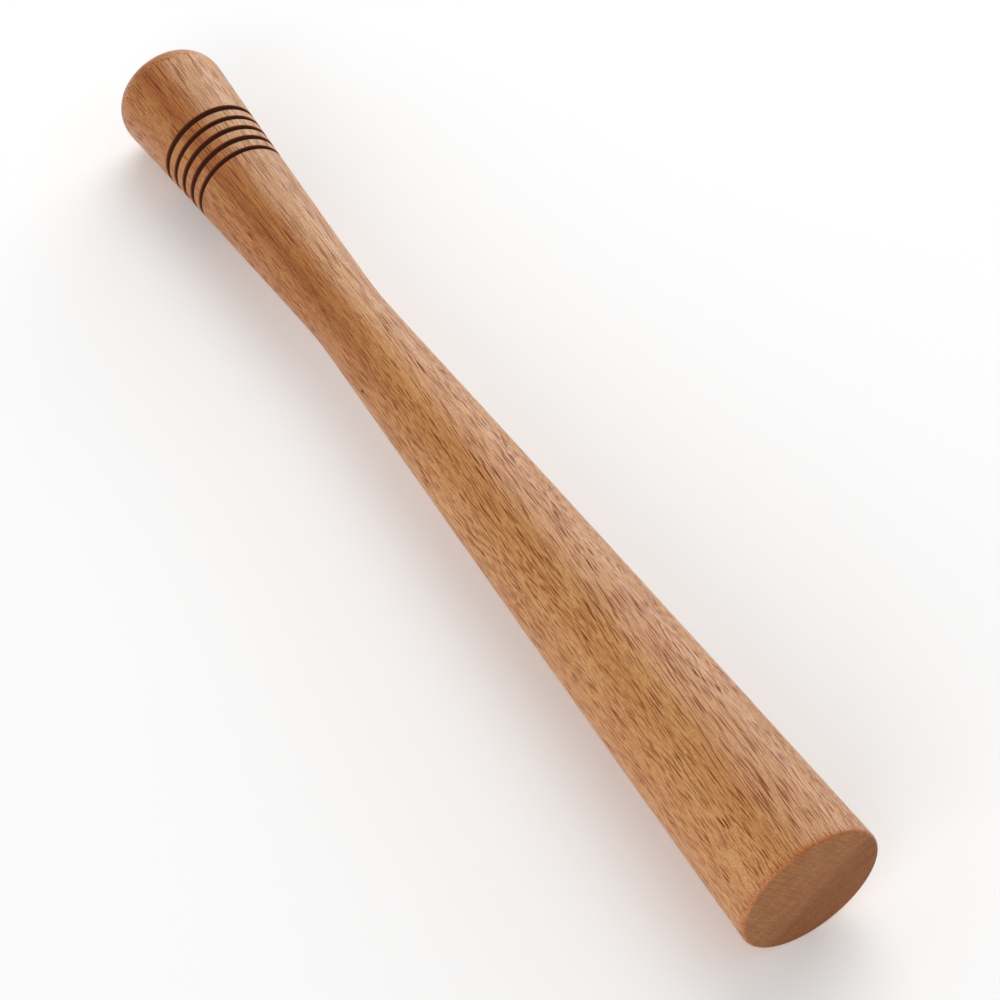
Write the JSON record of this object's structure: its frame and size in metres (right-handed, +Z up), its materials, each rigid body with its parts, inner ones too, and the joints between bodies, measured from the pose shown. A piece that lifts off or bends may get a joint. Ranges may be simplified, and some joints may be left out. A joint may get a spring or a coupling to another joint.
{
  "type": "meat mallet",
  "caption": "One-piece turned hardwood pounding club with a flat striking face, a long taper to a slim waist and a flared, rounded grip ringed by burnt grooves.",
  "frame": {"origin": "middle of the footprint of the mallet lying on its side, on the plane it lies on", "axes": "+Z up, +X along the mallet's length towards the striking face, +Y across"},
  "size_m": [0.3072, 0.0374, 0.0373],
  "materials": {
    "oiled_hardwood": "satin"
  },
  "bodies": {
    "root": {"mallet_body": "oiled_hardwood"}
  },
  "joints": []
}
